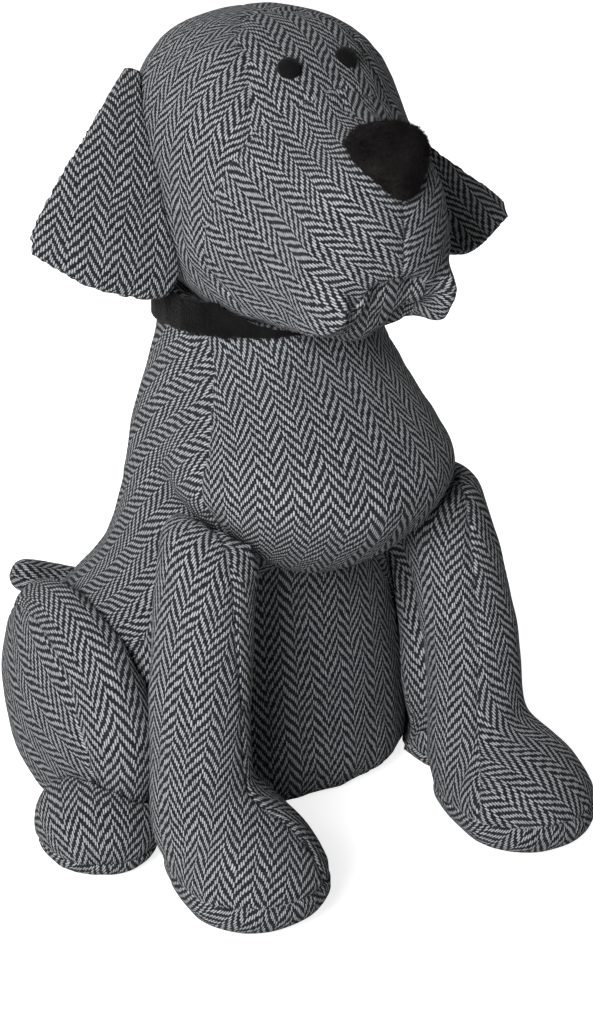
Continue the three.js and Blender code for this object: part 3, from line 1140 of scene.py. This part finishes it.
@dataclass
class HindPaw(SidedBag):
    """A small cushion with a sole."""

    node: str = "hind_paw"
    voxel: float = 3.4
    rests: bool = True
    grains: tuple[Triple, ...] = ((0.5, 0.9, 0.3), (0.0, 1.0, 0.0))
    sole_height: float = 8.0

    def above_sole(self, points: np.ndarray, _: np.ndarray) -> np.ndarray:
        """How far points lie above the sole seam."""
        return points[:, 2] - self.sole_height

    def seams(self) -> list[Field]:
        """The sole seam."""
        return [self.above_sole]

    def panel(self, points: np.ndarray, normals: np.ndarray) -> np.ndarray:
        """Top 0, sole 1."""
        return np.where(self.above_sole(points, normals) > 0, 0, 1)


@dataclass
class Tail(SewnBag):
    """A short tube with a seam along its top and underside."""

    node: str = "tail"
    voxel: float = 2.4
    slack: float = 0.5
    swell: float = 1.0
    seam_depth: float = 0.0
    grains: tuple[Triple, ...] = ((-1.0, 0.2, 0.3), (-1.0, 0.2, 0.3))

    def behind(self, _: np.ndarray, normals: np.ndarray) -> np.ndarray:
        """How far the cloth faces away from the back."""
        return normals @ np.array((0.3, 0.9, -0.3))

    def panel(self, points: np.ndarray, normals: np.ndarray) -> np.ndarray:
        """Rear half 0, front half 1."""
        return np.where(self.behind(points, normals) > 0, 0, 1)


# The trimmings


@dataclass
class Trim:
    """A piece of pile cloth, evened, pulled into shape and dressed.

    Attributes:
        node: The plain node. All lengths below are in millimetres.
        voxel: The size of its even faces.
        rounds: How often it is evened out.
        slot: Its material slot.
        fuzz: How uneven its pile is.
        pulls: What brings it to the shape that the photograph shows.
        size: How large it is, against the plain node.
    """

    node: str
    voxel: float
    rounds: int
    slot: Slot
    fuzz: float = 0.15
    pulls: tuple[Pull, ...] = ()
    size: float = 1.0

    def stand_pile(self, mesh: bpy.types.Mesh) -> None:
        """Leaves the cloth as it is, for only the nose has pile that stands up."""

    def make(self, finish: bpy.types.Material) -> bpy.types.Object:
        """Makes the piece with its slightly uneven pile.

        Args:
            finish: Its cloth.

        Returns:
            The piece.
        """
        piece = voxelled(self.node, self.node + "_cloth", self.voxel * MM, self.rounds)
        subdivide(piece)
        points = pulled(places(piece.data), self.pulls)
        points = points.mean(0) + (points - points.mean(0)) * self.size
        rough = ripple(points, BROAD_PILE) + FINE_SHARE * ripple(points[:, ::-1], FINE_PILE)
        move(piece.data, points + outward(piece.data) * (rough * self.fuzz * MM)[:, None])
        self.stand_pile(piece.data)
        piece.data.shade_smooth()
        piece.data.materials.append(finish)
        return piece


@dataclass
class Nose(Trim):
    """The nose, with blades of plush that stand up from its cloth.

    Attributes:
        blades: How many.
        blade: How long the longest are.
        widths: How wide they are at the foot, two ways.
        sunk: How much of a blade is below the cloth.
        scatter: How far a blade strays from the middle of its face.
        lean: How far it leans, against its length.
        seed: Where its random draws start.
    """

    node: str = "nose"
    voxel: float = 1.3
    rounds: int = 4
    slot: Slot = Slot.PLUSH
    fuzz: float = 0.25
    pulls: tuple[Pull, ...] = (
        ((0.0, -155.0, 329.0), 10.0, (0.0, 0.0, -1.6)),
        ((17.0, -152.0, 318.0), 9.0, (2.6, 0.0, 0.0)),
    )
    blades: int = 12000
    blade: float = 1.3
    widths: tuple[float, float] = (0.08, 0.07)
    sunk: float = 0.2
    scatter: float = 0.25
    lean: float = 0.5
    seed: int = 5

    def stand_pile(self, mesh: bpy.types.Mesh) -> None:
        """Stands blades on the cloth, each a closed spike that leans its own way.

        Args:
            mesh: The nose's mesh.
        """
        chance = np.random.default_rng(self.seed)
        area = np.array([face.area for face in mesh.polygons])
        pick = chance.choice(len(area), self.blades, p=area / area.sum())
        root = np.array([face.center for face in mesh.polygons])[pick]
        root += chance.normal(0.0, self.scatter * MM, (self.blades, 3))
        way = np.array([face.normal for face in mesh.polygons])[pick]
        way += chance.normal(0.0, self.lean, (self.blades, 3))
        way *= self.blade * MM * chance.uniform(0.5, 1.0, (self.blades, 1))
        side = np.cross(way, chance.normal(0.0, 1.0, (self.blades, 3)))
        side *= self.widths[0] * MM / np.linalg.norm(side, axis=1, keepdims=True)
        over = np.cross(way, side)
        over *= self.widths[1] * MM / np.linalg.norm(over, axis=1, keepdims=True)
        foot = root - self.sunk * way
        spikes = zip(foot + side, foot + over - side / 2, foot - over - side / 2, root + way)
        work = bmesh.new()
        work.from_mesh(mesh)
        for corners in spikes:
            a, b, c, tip = [work.verts.new(corner) for corner in corners]
            for face in ((a, b, tip), (b, c, tip), (c, a, tip), (c, b, a)):
                work.faces.new(face)
        work.to_mesh(mesh)
        work.free()


@dataclass
class Collar(Trim):
    """The velour band round the neck, which rides up a little at the near side."""

    node: str = "collar"
    voxel: float = 1.4
    rounds: int = 4
    slot: Slot = Slot.VELOUR
    pulls: tuple[Pull, ...] = (((-52.0, -52.0, 236.0), 38.0, (1.6, 0.0, 2.8)),)


@dataclass
class Eye(Trim):
    """A covered button, moved a little to where it is sewn on."""

    node: str = "eye"
    voxel: float = 0.6
    rounds: int = 2
    slot: Slot = Slot.BUTTON
    fuzz: float = 0.06
    size: float = 0.93
    side: Side = Side.RIGHT
    middle: Triple = (13.7, -110.0, 343.0)
    right_way: Triple = (-1.5, 0.2, -1.6)
    left_way: Triple = (-3.0, 0.5, 0.0)
    reach: float = 40.0

    def __post_init__(self) -> None:
        """Names its node and sets its pull for its side."""
        self.node += "_" + self.side.word
        out, ahead, up = self.middle
        way = self.right_way if self.side is Side.RIGHT else self.left_way
        self.pulls = (((out * self.side.value, ahead, up), self.reach, way),)


# The studio


def aimed(
    name: str, data: bpy.types.ID, aim: Triple, azimuth: float, elevation: float, distance: float
) -> bpy.types.Object:
    """Hangs a camera or a lamp round the dog, turned to a point.

    Args:
        name: The object's name.
        data: Its camera or lamp.
        aim: The point, in metres.
        azimuth: Where it hangs, in degrees round the dog from its front.
        elevation: How high, in degrees.
        distance: How far from the point, in metres.

    Returns:
        The object.
    """
    a, e = math.radians(azimuth), math.radians(elevation)
    back = Vector((math.sin(a) * math.cos(e), -math.cos(a) * math.cos(e), math.sin(e)))
    made = joined(name, data)
    made.location = Vector(aim) + back * distance
    made.rotation_euler = back.to_track_quat("Z", "Y").to_euler()
    return made


@dataclass(frozen=True)
class Softbox:
    """A square lamp, with its place in degrees and metres, its side and its power in watts."""

    name: str
    azimuth: float
    elevation: float
    size: float
    watts: float
    distance: float = 1.6

    def hang(self, aim: Triple) -> None:
        """Hangs the lamp.

        Args:
            aim: The point that it is turned to, in metres.
        """
        data = bpy.data.lights.new(self.name, "AREA")
        data.shape, data.size, data.energy = "SQUARE", self.size, self.watts
        aimed(self.name, data, aim, self.azimuth, self.elevation, self.distance)


@dataclass(frozen=True)
class Studio:
    """The camera, the soft lamps and the white floor.

    Attributes:
        aim: What the camera and the lamps are turned to, in metres.
        distance: How far the camera is from it, in metres.
        azimuth: Where the camera is, in degrees round the dog from its front.
        elevation: How high it is, in degrees.
        lens: Its focal length, in millimetres.
        sensor: The width of its sensor, in millimetres.
        lamps: The softboxes.
        fill: How much light comes from all round.
        floor_reach: Half the floor's side, in metres.
        floor_drop: How far it is below the dog, in metres.
        floor_grey: How light it is.
        near_glow: How white it is shown under the dog.
        glow_start: How far out it starts to turn fully white, in metres.
        glow_rise: How fast it does, for each metre.
    """

    aim: Triple = (-0.0245, -0.131, 0.165)
    distance: float = 0.95
    azimuth: float = -30.0
    elevation: float = 22.0
    lens: float = 81.9
    sensor: float = 36.0
    lamps: tuple[Softbox, ...] = (
        Softbox("key", -52.0, 25.0, 0.7, 38.5),
        Softbox("back", -170.0, 38.0, 1.2, 11.0),
        Softbox("far", 125.0, 10.0, 1.2, 8.0),
    )
    fill: float = 0.04
    floor_reach: float = 6.0
    floor_drop: float = 0.0004
    floor_grey: float = 0.6
    near_glow: float = 0.8
    glow_start: float = 0.17
    glow_rise: float = 14.0

    def camera(self) -> None:
        """Sets the camera at the photograph's angle."""
        data = bpy.data.cameras.new("camera")
        data.lens, data.sensor_width, data.clip_start = self.lens, self.sensor, 0.01
        place = (self.azimuth, self.elevation, self.distance)
        bpy.context.scene.camera = aimed("camera", data, self.aim, *place)

    def world(self) -> None:
        """Fills from all round, and shows white behind the dog."""
        world = bpy.data.worlds.new("studio")
        world.use_nodes = True
        nodes, links = world.node_tree.nodes, world.node_tree.links
        path = nodes.new("ShaderNodeLightPath")
        back = nodes["Background"]
        back.inputs["Color"].default_value = WHITE
        seen = Value(world.node_tree, path.outputs["Is Camera Ray"])
        links.new(seen.blend(self.fill, 1.0).socket, back.inputs["Strength"])
        bpy.context.scene.world = world

    def white(self) -> bpy.types.Material:
        """The floor's finish, which shows white away from the dog and takes its shadow.

        Returns:
            The material.
        """
        shader = Shader("white_floor")
        shader.surface.inputs["Base Color"].default_value = (*[self.floor_grey] * 3, 1.0)
        shader.matt(1.0, 0.0, 0.0, 0.5)
        seen = Value(shader.tree, shader.node("LightPath").outputs["Is Camera Ray"])
        reach = shader.node("VectorMath", operation="LENGTH")
        shader.link(shader.node("TexCoord").outputs["Object"], reach.inputs[0])
        away = (Value(shader.tree, reach.outputs["Value"]) - self.glow_start) * self.glow_rise
        glow = seen * away.clamped().blend(self.near_glow, 1.0)
        shader.surface.inputs["Emission Color"].default_value = WHITE
        shader.link(glow.socket, shader.surface.inputs["Emission Strength"])
        return shader.material

    def floor(self) -> None:
        """Lays the white floor."""
        mesh = bpy.data.meshes.new("floor")
        r = self.floor_reach
        mesh.from_pydata([(-r, -r, 0), (r, -r, 0), (r, r, 0), (-r, r, 0)], [], [(0, 1, 2, 3)])
        mesh.materials.append(self.white())
        floor = joined("floor", mesh)
        floor.location.z = -self.floor_drop

    def build(self) -> None:
        """Sets up the whole studio."""
        bpy.context.scene.view_settings.view_transform = "Standard"
        self.camera()
        self.world()
        for lamp in self.lamps:
            lamp.hang(self.aim)
        self.floor()


def main() -> None:
    """Builds the studio, the stuffed bags and the trimmings, and reports each piece."""
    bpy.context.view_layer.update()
    Studio().build()
    tweed = HerringboneTweed().material()
    piles = {slot: pile.material() for slot, pile in PILES.items()}
    bags: list[SewnBag] = [Head(), Torso(), Tail()]
    for side in Side:
        bags += [Ear(side=side), FrontLeg(side=side), Haunch(side=side), HindPaw(side=side)]
    for bag in bags:
        bag.rough_out()
    stuff(bags)
    for bag in bags:
        bag.shape()
        bag.sew()
        bag.dress(tweed)
        log.info("%s: %d faces", bag.piece.name, len(bag.piece.data.polygons))
    trims: list[Trim] = [Nose(), Collar(), *(Eye(side=side) for side in Side)]
    for trim in trims:
        piece = trim.make(piles[trim.slot])
        log.info("%s: %d faces", piece.name, len(piece.data.polygons))


if __name__ == "__main__":
    logging.basicConfig(level=logging.INFO, format="%(relativeCreated)6d %(message)s")
    main()
